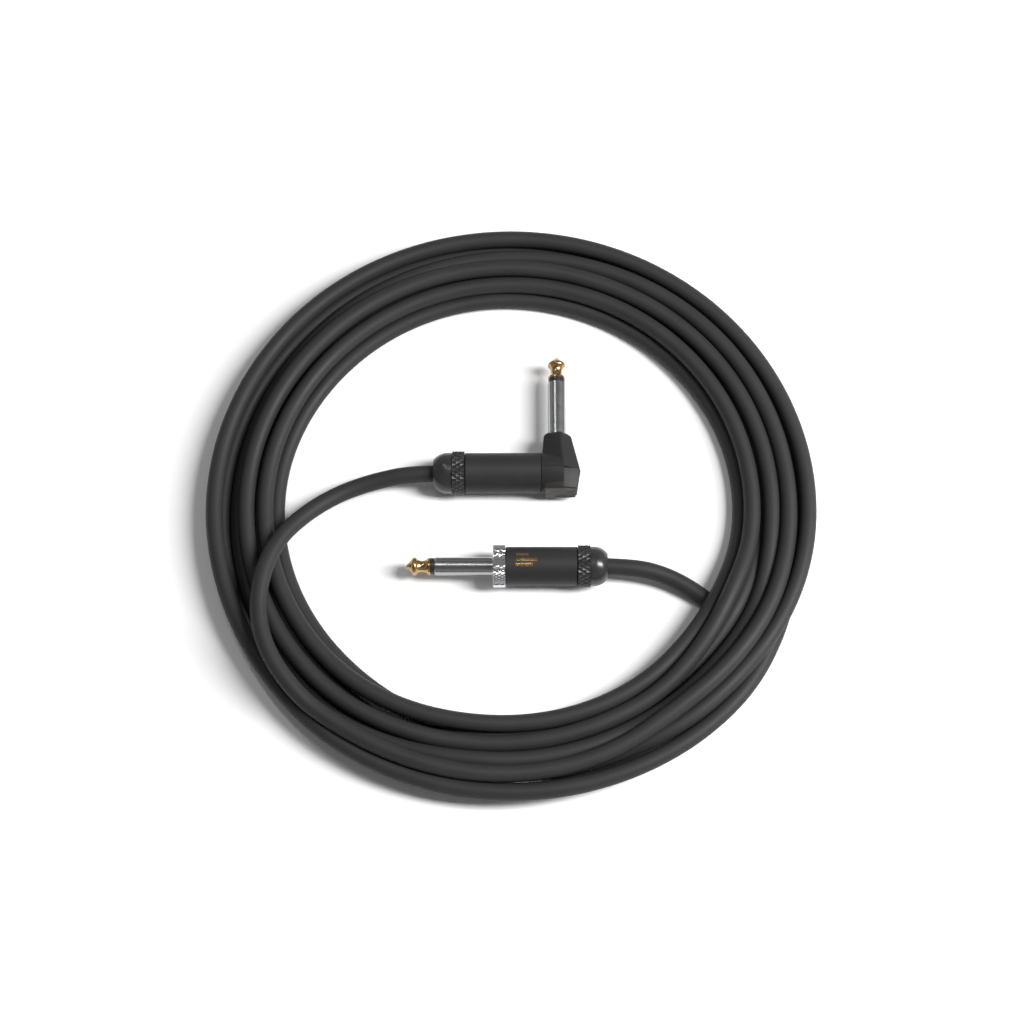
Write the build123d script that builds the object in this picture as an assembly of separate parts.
from build123d import *
import math
import os

# Instrument cable: one long shielded cable laid in a loose round coil, with a straight
# quarter-inch plug on one end and a right-angle quarter-inch plug on the other, both lying
# inside the coil. Millimetres, +Z up, everything rests on the surface z = 0. The origin is
# on that surface, at the middle of the box round the two plugs.

# ---- driving dimensions: cable and coil ----
CABLE_R = 3.0            # radius of the jacket
COIL_X = 1.85            # the coil's centre
COIL_Y = -11.95
COIL_R_IN = 78.0         # inner and outer radius of the laid coil
COIL_R_OUT = 108.0
COIL_H = 13.0            # two layers of cable, and a third in places
COIL_SHOULDER_IN = 7.5   # the inner turns lie one layer deep: how far in the top starts
COIL_LIP = 5.0           # height of the coil's wall at its inner edge

# ---- driving dimensions: quarter-inch jack, from its shoulder (0) to its tip ----
JACK_R = 3.175           # 6.35 mm sleeve
JACK_L = 30.5            # shoulder to the end of the tip
SLEEVE_L = 20.4
SHANK_R = 3.0            # the sleeve where it is hidden inside the plug
RING_L = 1.6             # black ring between sleeve and tip
RING_R = 2.95
TIP_R = 3.15             # the tip's widest place, as far back from its end as TIP_BULGE
TIP_BULGE = 2.85
NECK_R = 2.0             # the detent groove behind it
NECK_BACK = 5.3
ROD_R = 1.0              # the rod that carries the tip through the sleeve
TUBE_R = 2.1             # insulating tube round the rod
WASHER_T = 1.0
LUG_T = 0.5
RIVET_R = 1.6
RIVET_T = 0.6

# ---- driving dimensions: cable gland, the same in both plugs; 0 is the barrel's rear face ----
NUT_L = 4.5              # how far back the knurled ring reaches
NUT_GAP = 0.1            # ring to barrel, and ring to boot
SPIGOT_R = 5.3           # threaded spigot behind the ring, drawn without its thread
SPIGOT_L = 6.0
NUT_BORE_R = 4.3
BOOT_TAIL_R = 4.1
BOOT_BORE_R = 3.4
BOOT_LIP_R = 4.7
BOOT_LIP_L = 0.9
BARREL_BORE_R = 5.45
FRONT_BORE_R = 5.85      # wider bore at the barrel's front, over the spigot that it screws on
FRONT_BORE_L = 4.8
FRONT_SPIGOT_R = 5.8
FRONT_SPIGOT_L = 4.6
CHUCK_L = 5.9
CHUCK_START = -13.5
CHUCK_R = 5.3
CHUCK_END_R = 4.6
SLIT_W = 0.6
LINER_L = 6.3
LINER_START = -20.3
LINER_R = 5.35
LINER_WALL = 0.45
JACKET_END = -17.0       # where the jacket is stripped off
RUN_START = 4.0          # where the free cable takes over, inside the boot
CORE_R = 1.3
SHIELD_R = 0.6

# ---- driving dimensions: straight plug, lying along X with its tip to -X ----
S_SHOULDER_X = -4.88
S_Y = -36.4
S_COLLAR_L = 4.4
S_RING_R = 7.45          # chrome collar and gland nut; the plug rests on both
S_BARREL_R = 6.85
S_BARREL_L = 25.2
S_BOOT_R = 6.95
S_BOOT_L = 5.9           # domed part of the boot
S_FLANGE_R = 4.95
S_FLANGE_DOWN = 0.8
S_FLANGE_L = 2.8

# ---- driving dimensions: angle plug, barrel along X, jack along +Y ----
A_REAR_X = -14.95
A_Y = -1.35
A_RING_R = 7.85
A_BARREL_R = 7.2
A_BARREL_L = 27.0
A_BOOT_R = 7.3
A_BOOT_L = 6.6
A_JACK_X = 17.85
A_SHOULDER_Y = 13.25
A_CAVITY_R = 4.7
A_CAVITY_Y = -3.0        # below this the cavity narrows to the cap's mouth
A_MOUTH_R = 3.8
A_FLANGE_R = 4.6
A_FLANGE_DOWN = 5.0
A_FLANGE_L = 3.0
A_CAP_T = 0.5
A_CAP_PLUG_L = 1.5
A_CAP_INSET = 0.5
CAP_RIBS = 7

# Six-sided sections of the angle plug's head, from its end cap to its shoulder. Each gives the
# place along Y, then, from the jack's axis, the left side, the right side and the crest, and
# the half heights at the crest, at the left side and at the right side.
HEAD = [
    (-8.6, 4.6, 7.0, 2.2, 4.9, 4.2, 3.6),
    (-0.8, 5.8, 8.1, 2.2, 7.3, 3.8, 2.8),
    (12.0, 4.8, 5.0, 1.8, 5.1, 3.3, 2.0),
    (13.25, 3.4, 3.6, 1.4, 3.9, 2.6, 1.6),
]
HEAD_SEAM_Y = A_Y

# ---- wiring inside each plug ----
# Axis of the gland in Y and Z; X of the stripped jacket and of the core's end; the joint on
# the tip lug; the braid's route from the jacket to the ground lug; the joint on that lug.
WIRING = [
    ("straight", S_Y, S_RING_R, 7.72, 5.2, (3.3, S_Y, 8.4),
     [(7.72, S_Y, 5.25), (6.0, S_Y, 5.2), (3.5, S_Y, 4.85)], (4.0, S_Y, 4.9)),
    ("angle", A_Y, A_RING_R, 2.05, 15.5, (A_JACK_X, -0.3, 8.8),
     [(2.05, A_Y, 5.65), (9.0, A_Y, 5.3), (17.2, -0.3, 5.25)], (17.4, -0.3, 5.3)),
]
WIRE_R = 0.45
TIP_BLOB_R = 1.2
SHIELD_BLOB_R = 0.95

# ---- the free cable: points of each run's route, corners that its arcs round off ----
RUN_ANGLE = [
    (-18.95, -1.35, 7.85),
    (-33.0, -1.35, 7.85),
    (-47.0, -3.4, 5.4),
    (-60.2, -8.2, 5.0),
    (-71.2, -16.8, 8.0),
    (-80.0, -28.2, 13.4),
    (-85.0, -42.0, 15.9),
    (-86.0, -56.6, 16.2),
    (-82.3, -70.0, 16.1),
    (-74.4, -81.8, 15.0),
    (-64.4, -91.2, 12.4),
]
RUN_STRAIGHT = [
    (28.72, -36.4, 7.45),
    (41.2, -36.4, 7.45),
    (54.9, -38.4, 4.6),
    (67.6, -45.1, 3.0),
    (77.6, -54.0, 3.0),
]
ARC_SHARE = 0.45         # how much of the shorter run an arc takes


def turned(*outline):
    """A solid of revolution about Z, from (radius, height) points."""
    face = make_face(Polyline(*outline, close=True))
    return revolve(Plane.XZ * face, Axis.Z)


def tube(outer, inner, start, end):
    """A plain tube or washer about Z."""
    return turned((inner, start), (outer, start), (outer, end), (inner, end))


def save(shape, name):
    """Writes one solid, or a group of solids, as one named piece."""
    shape.label = name
    export_step(shape, f"parts/{name}.step")


# ---- jack pieces, along +Z with the shoulder at z = 0 ----

def jack_tip(flange_bottom):
    """Gold tip with its rod, riveted over behind the lugs."""
    rear = flange_bottom - WASHER_T - 2 * LUG_T
    base = SLEEVE_L + RING_L
    bulge = JACK_L - TIP_BULGE
    neck = JACK_L - NECK_BACK
    profile = Polyline(
        (0, JACK_L), (0, rear - RIVET_T), (RIVET_R, rear - RIVET_T), (RIVET_R, rear),
        (ROD_R, rear), (ROD_R, base), (TIP_R - 0.15, base), (TIP_R - 0.15, base + 0.7),
    )
    groove = ThreePointArc((TIP_R - 0.15, base + 0.7), (NECK_R, neck), (TIP_R - 0.35, bulge - 0.9))
    crown = ThreePointArc((TIP_R - 0.35, bulge - 0.9), (TIP_R, bulge), (TIP_R - 0.55, bulge + 0.75))
    nose = Polyline((TIP_R - 0.55, bulge + 0.75), (0.45, JACK_L - 0.15), (0, JACK_L))
    face = make_face([*profile.edges(), *groove.edges(), *crown.edges(), *nose.edges()])
    return revolve(Plane.XZ * face, Axis.Z)


def jack_insulator(flange_bottom):
    """Black ring that shows between tip and sleeve, with the tube that lines the sleeve."""
    return turned(
        (ROD_R, flange_bottom), (TUBE_R, flange_bottom), (TUBE_R, SLEEVE_L), (RING_R, SLEEVE_L),
        (RING_R, SLEEVE_L + RING_L), (ROD_R, SLEEVE_L + RING_L),
    )


def jack_sleeve(flange_r, flange_top, flange_bottom):
    """Nickel sleeve with the flange that the plug's body holds."""
    return turned(
        (TUBE_R, flange_bottom), (flange_r, flange_bottom), (flange_r, flange_top),
        (SHANK_R, flange_top), (SHANK_R, 0), (JACK_R, 0), (JACK_R, SLEEVE_L - 0.2), (JACK_R - 0.2, SLEEVE_L),
        (TUBE_R, SLEEVE_L),
    )


def jack_sleeve_lug(flange_bottom, tail_r, tail_end):
    """Ground lug: a washer against the flange, with a tail that reaches back to the shield."""
    washer = tube(4.2, TUBE_R, flange_bottom - LUG_T, flange_bottom)
    tail_l = flange_bottom - tail_end
    tail = Pos(0, tail_r, flange_bottom - tail_l / 2) * Box(2.4, LUG_T, tail_l)
    foot = Pos(0, (tail_r + 3.0) / 2, flange_bottom - LUG_T / 2) * Box(2.4, tail_r - 3.0 + LUG_T, LUG_T)
    return washer + foot + tail


def jack_washer(flange_bottom):
    """Insulating washer between the two lugs."""
    return tube(3.0, ROD_R, flange_bottom - LUG_T - WASHER_T, flange_bottom - LUG_T)


def jack_tip_lug(flange_bottom, tail_l):
    """Signal lug, held by the rivet, with a short tail for the core."""
    top = flange_bottom - LUG_T - WASHER_T
    washer = tube(2.4, ROD_R, top - LUG_T, top)
    tail = Pos(0, -2.15, top - tail_l / 2) * Box(2.0, LUG_T, tail_l)
    return washer + tail


# ---- gland pieces, along +Z with the barrel's rear face at z = 0 and the cable leaving up ----

def gland_barrel(outer, length):
    """Barrel: a turned tube, wider inside at the front where it screws on."""
    return turned(
        (BARREL_BORE_R, 0), (outer - 0.3, 0), (outer, -0.3), (outer, 0.3 - length),
        (outer - 0.3, -length), (FRONT_BORE_R, -length), (FRONT_BORE_R, FRONT_BORE_L - length),
        (BARREL_BORE_R, FRONT_BORE_L - length),
    )


def gland_nut(outer):
    """Knurled ring with the spigot that screws into the barrel."""
    low = NUT_GAP
    high = NUT_L
    return turned(
        (NUT_BORE_R, -SPIGOT_L), (SPIGOT_R - 0.3, -SPIGOT_L), (SPIGOT_R, 0.3 - SPIGOT_L),
        (SPIGOT_R, low), (outer - 0.3, low), (outer, low + 0.3), (outer, high - 0.3),
        (outer - 0.3, high), (NUT_BORE_R, high),
    )


def gland_boot(outer, dome_l):
    """Domed boot with a tail through the nut and a lip that the nut pulls on."""
    base = NUT_L + NUT_GAP
    end = base + dome_l
    lip_top = -SPIGOT_L - 0.3
    inside = Polyline(
        (BOOT_BORE_R, end), (BOOT_BORE_R, lip_top - BOOT_LIP_L), (BOOT_LIP_R, lip_top - BOOT_LIP_L),
        (BOOT_LIP_R, lip_top), (BOOT_TAIL_R, lip_top), (BOOT_TAIL_R, base), (outer, base),
        (outer, base + 1.2),
    )
    middle = base + 0.62 * dome_l
    dome = ThreePointArc((outer, base + 1.2), (outer - 0.55, middle), (outer - 2.1, end - 0.3))
    mouth = Polyline((outer - 2.1, end - 0.3), (outer - 2.4, end), (BOOT_BORE_R, end))
    face = make_face([*inside.edges(), *dome.edges(), *mouth.edges()])
    return revolve(Plane.XZ * face, Axis.Z)


def gland_chuck():
    """Split collet that grips the jacket when the nut is tight."""
    end = CHUCK_START + CHUCK_L
    body = turned(
        (CABLE_R, CHUCK_START), (CHUCK_R, CHUCK_START), (CHUCK_R, CHUCK_START + 2.0),
        (CHUCK_END_R, end), (CABLE_R, end),
    )
    slit_l = CHUCK_L - 1.8
    slit = Pos(0, 0, end - slit_l / 2) * Box(SLIT_W, 4 * CHUCK_R, slit_l)
    return body - slit - Rot(0, 0, 90) * slit


def gland_liner():
    """Insulating tube that keeps the solder joints off the barrel."""
    return tube(LINER_R, LINER_R - LINER_WALL, LINER_START, LINER_START + LINER_L)


def gland_cable_end():
    """The cable's jacket inside the plug, from the stripped end to the boot."""
    return Pos(0, 0, (JACKET_END + RUN_START) / 2) * Cylinder(CABLE_R, RUN_START - JACKET_END)


# ---- the angle plug's head ----

def head_section(y, left, right, crest, half, left_half, right_half, shrink=0.0):
    """One six-sided section of the head, in a plane square to Y."""
    left = left - shrink
    right = right - shrink
    half = half - shrink
    corners = [
        (-left, -left_half), (-left, left_half), (crest, half),
        (right, right_half), (right, -right_half), (crest, -half),
    ]
    plane = Plane(origin=(A_JACK_X, y, A_RING_R), x_dir=(1, 0, 0), z_dir=(0, -1, 0))
    return plane * make_face(Polyline(*corners, close=True))


def half_space(low_y, high_y):
    """A block wide enough to cut the head between two places along Y."""
    return Pos(A_JACK_X, (low_y + high_y) / 2, A_RING_R) * Box(60, high_y - low_y, 60)


def head_blank():
    """The head in one piece: tapered prism, stub of the barrel's size, spigot and cavity."""
    prism = loft([head_section(*row) for row in HEAD], ruled=True)
    front_x = A_REAR_X + A_BARREL_L
    stub_l = A_JACK_X + HEAD[1][3] - front_x
    along_x = Plane(origin=(front_x, A_Y, A_RING_R), x_dir=(0, 1, 0), z_dir=(1, 0, 0))
    stub = along_x * Pos(0, 0, stub_l / 2) * Cylinder(A_BARREL_R, stub_l)
    spigot_l = FRONT_SPIGOT_L + 2.0
    spigot = along_x * Pos(0, 0, spigot_l / 2 - FRONT_SPIGOT_L) * Cylinder(FRONT_SPIGOT_R, spigot_l)
    bore_l = A_JACK_X - front_x + FRONT_SPIGOT_L
    bore = along_x * Pos(0, 0, bore_l / 2 - FRONT_SPIGOT_L) * Cylinder(A_CAVITY_R, bore_l)
    jack = angle_jack_plane()
    cavity_l = A_SHOULDER_Y - A_FLANGE_DOWN - A_CAVITY_Y
    cavity = jack * Pos(0, 0, -A_FLANGE_DOWN - cavity_l / 2) * Cylinder(A_CAVITY_R, cavity_l)
    mouth_l = A_CAVITY_Y - HEAD[0][0]
    mouth = jack * Pos(0, 0, HEAD[0][0] + mouth_l / 2 - A_SHOULDER_Y) * Cylinder(A_MOUTH_R, mouth_l)
    hole = jack * Pos(0, 0, -A_FLANGE_DOWN / 2) * Cylinder(SHANK_R, A_FLANGE_DOWN)
    return prism + stub + spigot - bore - cavity - mouth - hole


def head_end_cap():
    """Ribbed plate on the end of the head, with a plug into its cavity."""
    y, left, right, crest, half, left_half, right_half = HEAD[0]
    face = head_section(y, left, right, crest, half, left_half, right_half, shrink=A_CAP_INSET)
    plate = extrude(face, A_CAP_T)
    plug_plane = Plane(origin=(A_JACK_X, y, A_RING_R), x_dir=(1, 0, 0), z_dir=(0, 1, 0))
    plug = plug_plane * Pos(0, 0, A_CAP_PLUG_L / 2) * Cylinder(A_MOUTH_R - 0.1, A_CAP_PLUG_L)
    cap = plate + plug
    pitch = (right - A_CAP_INSET) / CAP_RIBS
    first = A_JACK_X
    for index in range(CAP_RIBS):
        groove = Box(pitch / 2, 0.5, 2 * right_half - 0.8)
        cap = cap - Pos(first + index * pitch, y - A_CAP_T, A_RING_R) * groove
    return cap


# ---- placing planes: local +Z is the jack's tip or the way the cable leaves ----

def straight_jack_plane():
    return Plane(origin=(S_SHOULDER_X, S_Y, S_RING_R), x_dir=(0, 1, 0), z_dir=(-1, 0, 0))


def straight_gland_plane():
    rear_x = S_SHOULDER_X + S_COLLAR_L + S_BARREL_L
    return Plane(origin=(rear_x, S_Y, S_RING_R), x_dir=(0, 0, 1), z_dir=(1, 0, 0))


def angle_jack_plane():
    return Plane(origin=(A_JACK_X, A_SHOULDER_Y, A_RING_R), x_dir=(1, 0, 0), z_dir=(0, 1, 0))


def angle_gland_plane():
    return Plane(origin=(A_REAR_X, A_Y, A_RING_R), x_dir=(0, 0, 1), z_dir=(-1, 0, 0))


# ---- wiring ----

def signal_core(axis_y, axis_z, start_x, end_x, joint):
    """Insulated core, and the bare wire that goes on from it to its solder joint."""
    length = end_x - start_x
    core = Pos((start_x + end_x) / 2, axis_y, axis_z) * Rot(0, 90, 0) * Cylinder(CORE_R, abs(length))
    wire_l = joint[0] - end_x
    wire = Pos(end_x + wire_l / 2, axis_y, axis_z) * Rot(0, 90, 0) * Cylinder(WIRE_R, abs(wire_l))
    return core, wire


def solder_blob(centre, radius):
    return Pos(*centre) * Sphere(radius)


def thin_tube(points, radius):
    route = FilletPolyline(*points, radius=route_radii(points))
    start = Plane(origin=route @ 0, z_dir=route % 0)
    return sweep(start * Circle(radius), path=route)


# ---- the cable ----

def route_radii(points):
    """One arc radius for each corner: as large as its two runs allow."""
    corners = [Vector(*point) for point in points]
    radii = []
    for before, here, after in zip(corners, corners[1:], corners[2:]):
        run_in = here - before
        run_out = after - here
        turn = math.radians(run_in.get_angle(run_out))
        shorter = min(run_in.length, run_out.length)
        radii.append(ARC_SHARE * shorter / math.tan(turn / 2))
    return radii


def cable_tube(points, name):
    """A round tube along straight runs joined by tangent arcs."""
    radii = route_radii(points)
    route = FilletPolyline(*points, radius=radii)
    start = Plane(origin=route @ 0, z_dir=route % 0)
    solid = sweep(start * Circle(CABLE_R), path=route)
    expected = math.pi * CABLE_R ** 2 * route.length
    print(name, "length", round(route.length, 1), "least radius", round(min(radii), 1))
    print("  radii", [round(radius, 1) for radius in radii])
    print("  volume over section times length", round(solid.volume / expected, 4))
    return solid


def coil():
    """The laid coil as one closed ring of its outer shape."""
    top_in = COIL_R_IN + COIL_SHOULDER_IN
    top_out = COIL_R_OUT - COIL_LIP
    ring = turned(
        (COIL_R_IN, 0), (COIL_R_OUT, 0), (COIL_R_OUT, COIL_H - COIL_LIP), (top_out, COIL_H),
        (top_in, COIL_H), (COIL_R_IN, COIL_LIP),
    )
    upper = [edge for edge in ring.edges() if edge.center().Z > 1.0 and edge.geom_type == GeomType.CIRCLE]
    return Pos(COIL_X, COIL_Y, 0) * fillet(upper, 2.0)


os.makedirs("parts", exist_ok=True)

# ---- jack pieces of both plugs ----
LUGS = {}
JACKS = [
    ("straight", straight_jack_plane(), S_FLANGE_R, -S_FLANGE_DOWN, S_FLANGE_L, 3.45, -13.5, 4.0),
    ("angle", angle_jack_plane(), A_FLANGE_R, -A_FLANGE_DOWN, A_FLANGE_L, 3.45, -13.2, 3.2),
]
for plug, plane, flange_r, flange_top, flange_l, tail_r, tail_end, tip_tail in JACKS:
    bottom = flange_top - flange_l
    save(plane * jack_tip(bottom), f"{plug}_tip")
    save(plane * jack_insulator(bottom), f"{plug}_insulator")
    save(plane * jack_sleeve(flange_r, flange_top, bottom), f"{plug}_sleeve")
    sleeve_lug = plane * jack_sleeve_lug(bottom, tail_r, tail_end)
    tip_lug = plane * jack_tip_lug(bottom, tip_tail)
    LUGS[plug] = [sleeve_lug, tip_lug]
    save(sleeve_lug, f"{plug}_sleeve_lug")
    save(plane * jack_washer(bottom), f"{plug}_lug_washer")
    save(tip_lug, f"{plug}_tip_lug")

# ---- gland pieces of both plugs ----
GLANDS = [
    ("straight", straight_gland_plane(), S_BARREL_R, S_BARREL_L, S_RING_R, S_BOOT_R, S_BOOT_L),
    ("angle", angle_gland_plane(), A_BARREL_R, A_BARREL_L, A_RING_R, A_BOOT_R, A_BOOT_L),
]
for plug, plane, barrel_r, barrel_l, ring_r, boot_r, boot_l in GLANDS:
    save(plane * gland_barrel(barrel_r, barrel_l), f"{plug}_barrel")
    save(plane * gland_nut(ring_r), f"{plug}_gland_nut")
    save(plane * gland_boot(boot_r, boot_l), f"{plug}_boot")
    save(plane * gland_chuck(), f"{plug}_chuck")
    save(plane * gland_liner(), f"{plug}_liner")
    save(plane * gland_cable_end(), f"{plug}_cable_end")

# ---- chrome collar of the straight plug ----
collar = turned(
    (SHANK_R, 0), (S_RING_R - 0.3, 0), (S_RING_R, -0.3), (S_RING_R, 0.3 - S_COLLAR_L),
    (S_RING_R - 0.3, -S_COLLAR_L), (FRONT_SPIGOT_R, -S_COLLAR_L),
    (FRONT_SPIGOT_R, -S_COLLAR_L - FRONT_SPIGOT_L), (S_FLANGE_R, -S_COLLAR_L - FRONT_SPIGOT_L),
    (S_FLANGE_R, -S_FLANGE_DOWN), (SHANK_R, -S_FLANGE_DOWN),
)
save(straight_jack_plane() * collar, "straight_collar")

# ---- head of the angle plug, split at its seam ----
blank = head_blank()
save(blank & half_space(HEAD_SEAM_Y, A_SHOULDER_Y + 5), "angle_head_upper")
save(blank & half_space(HEAD[0][0] - 5, HEAD_SEAM_Y), "angle_head_lower")
save(head_end_cap(), "angle_end_cap")

# ---- wiring inside the plugs ----
for plug, axis_y, axis_z, core_x, core_end_x, tip_spot, braid, shield_spot in WIRING:
    core, wire = signal_core(axis_y, axis_z, core_x, core_end_x, tip_spot)
    tip_blob = solder_blob(tip_spot, TIP_BLOB_R)
    shield = thin_tube(braid, SHIELD_R)
    shield_blob = solder_blob(shield_spot, SHIELD_BLOB_R)
    tip_blob = tip_blob - core - wire - LUGS[plug]
    shield_blob = shield_blob - shield - LUGS[plug]
    save(core + wire, f"{plug}_core")
    save(shield, f"{plug}_shield")
    save(Compound([tip_blob.solid(), shield_blob.solid()]), f"{plug}_solder")

# ---- the cable itself ----
save(cable_tube(RUN_ANGLE, "cable_run_angle"), "cable_run_angle")
save(coil(), "cable_coil")
save(cable_tube(RUN_STRAIGHT, "cable_run_straight"), "cable_run_straight")
